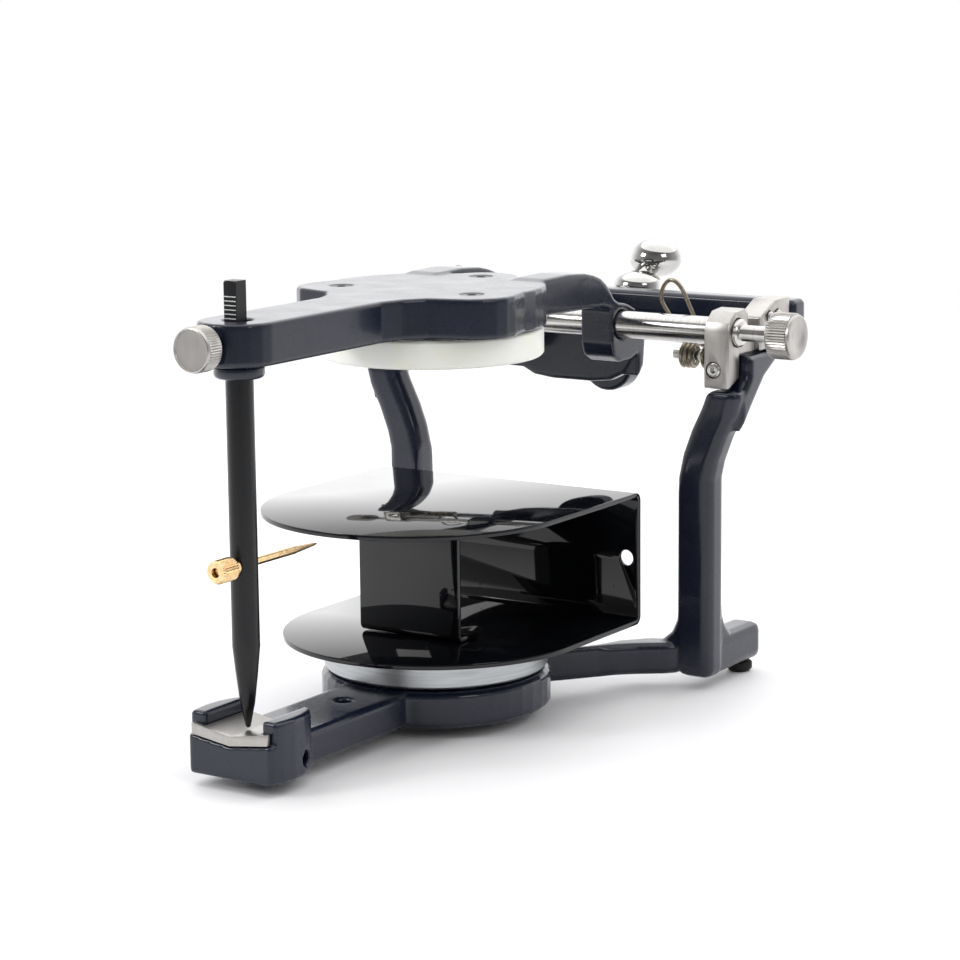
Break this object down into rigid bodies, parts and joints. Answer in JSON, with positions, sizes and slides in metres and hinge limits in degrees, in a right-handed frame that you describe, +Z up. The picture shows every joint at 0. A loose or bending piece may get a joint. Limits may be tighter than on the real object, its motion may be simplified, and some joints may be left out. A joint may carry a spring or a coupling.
{
  "type": "dental articulator",
  "caption": "Dental articulator: a wishbone lower frame and a hinged upper arm with mounting plates, an incisal pin and needle, an occlusal plane table and a sprung hinge end.",
  "frame": {"origin": "centre of the bounding box in plan, on the plane that the three rubber feet stand on", "axes": "+Z up, +Y towards the hinge end, +X to the right of the articulator seen from its front; the frames are mirror symmetric about X = 0"},
  "size_m": [0.1456, 0.2152, 0.1185],
  "materials": {
    "navy_enamel": "gloss navy-black stove enamel over cast aluminium",
    "satin_nickel": "satin nickel plate",
    "polished_steel": "bright turned steel",
    "chrome_plate": "polished chrome plate",
    "blacked_steel": "blacked steel, semi-matt",
    "gloss_black_lacquer": "mirror-gloss black lacquer on sheet steel",
    "ivory_plastic": "translucent ivory moulded plastic",
    "turned_aluminium": "satin turned aluminium",
    "brass": "turned brass",
    "black_rubber": "matt black rubber",
    "spring_wire": "bronze-toned spring wire"
  },
  "bodies": {
    "lower_member": {"lower_frame": "navy_enamel", "rear_foot_right": "black_rubber", "rear_foot_left": "black_rubber", "front_foot": "black_rubber", "lower_mounting_plate": "turned_aluminium", "lower_magnet": "polished_steel", "condylar_block_right": "satin_nickel", "condylar_block_left": "satin_nickel", "rear_bracket_right": "satin_nickel", "rear_bracket_left": "satin_nickel", "rear_bracket_right_screw_1": "polished_steel", "rear_bracket_right_screw_2": "polished_steel", "rear_bracket_left_screw_1": "polished_steel", "rear_bracket_left_screw_2": "polished_steel", "rear_bar": "navy_enamel", "condylar_spring_right": "spring_wire", "condylar_spring_left": "spring_wire", "spring_pin_right": "polished_steel", "spring_pin_left": "polished_steel"},
    "upper_member": {"upper_frame": "navy_enamel", "plate_screw_1": "blacked_steel", "plate_screw_2": "blacked_steel", "plate_screw_3": "blacked_steel", "upper_mounting_plate": "ivory_plastic", "upper_magnet": "polished_steel", "pin_collar": "navy_enamel", "hinge_axle": "polished_steel"},
    "guide_table": {"incisal_guide_table": "satin_nickel"},
    "guide_set_screw": {"guide_table_set_screw": "blacked_steel"},
    "plane_table": {"occlusal_table": "gloss_black_lacquer", "occlusal_table_support": "gloss_black_lacquer"},
    "clamp_screw_right": {"block_clamp_screw_right": "polished_steel"},
    "clamp_screw_left": {"block_clamp_screw_left": "polished_steel"},
    "centric_lock": {"centric_lock_screw": "chrome_plate"},
    "pin": {"incisal_pin": "blacked_steel"},
    "thumbscrew": {"pin_thumbscrew": "satin_nickel"},
    "needle": {"indicator_needle": "brass"},
    "needle_nut": {"indicator_nut": "brass"},
    "knob_right": {"axle_knob_right": "satin_nickel"},
    "knob_left": {"axle_knob_left": "satin_nickel"}
  },
  "joints": [
    {"name": "upper_member_opening", "type": "hinge", "parent": "lower_member", "child": "upper_member", "pos_m": [0, 0.0453, 0.0943], "axis": [-1, 0, 0], "range_deg": [0, 110]},
    {"name": "guide_table_slide", "type": "slide", "parent": "lower_member", "child": "guide_table", "axis": [0, -1, 0], "range_m": [0, 0.006]},
    {"name": "guide_set_screw_turn", "type": "hinge", "parent": "lower_member", "child": "guide_set_screw", "pos_m": [0.0092, -0.0849, 0.007], "axis": [1, 0, 0], "continuous": true},
    {"name": "plane_table_lift", "type": "slide", "parent": "lower_member", "child": "plane_table", "axis": [0, 0, 1], "range_m": [0, 0.03]},
    {"name": "clamp_screw_right_turn", "type": "hinge", "parent": "lower_member", "child": "clamp_screw_right", "pos_m": [0.0512, 0.0417, 0.0849], "axis": [0, -1, 0], "continuous": true},
    {"name": "clamp_screw_left_turn", "type": "hinge", "parent": "lower_member", "child": "clamp_screw_left", "pos_m": [-0.0512, 0.0417, 0.0849], "axis": [0, -1, 0], "continuous": true},
    {"name": "centric_lock_travel", "type": "slide", "parent": "lower_member", "child": "centric_lock", "axis": [0, 0.91, 0.4147], "range_m": [-0.001, 0.008]},
    {"name": "pin_height", "type": "slide", "parent": "upper_member", "child": "pin", "axis": [0, 0, 1], "range_m": [0, 0.015]},
    {"name": "thumbscrew_turn", "type": "hinge", "parent": "upper_member", "child": "thumbscrew", "pos_m": [0, -0.1023, 0.1044], "axis": [0, -1, 0], "continuous": true},
    {"name": "needle_reach", "type": "slide", "parent": "pin", "child": "needle", "axis": [0, 1, 0], "range_m": [-0.006, 0.003]},
    {"name": "needle_nut_turn", "type": "hinge", "parent": "pin", "child": "needle_nut", "pos_m": [0, -0.0973, 0.0526], "axis": [0, -1, 0], "continuous": true},
    {"name": "knob_right_turn", "type": "hinge", "parent": "upper_member", "child": "knob_right", "pos_m": [0.069, 0.0453, 0.0943], "axis": [1, 0, 0], "continuous": true},
    {"name": "knob_left_turn", "type": "hinge", "parent": "upper_member", "child": "knob_left", "pos_m": [-0.069, 0.0453, 0.0943], "axis": [-1, 0, 0], "continuous": true}
  ]
}
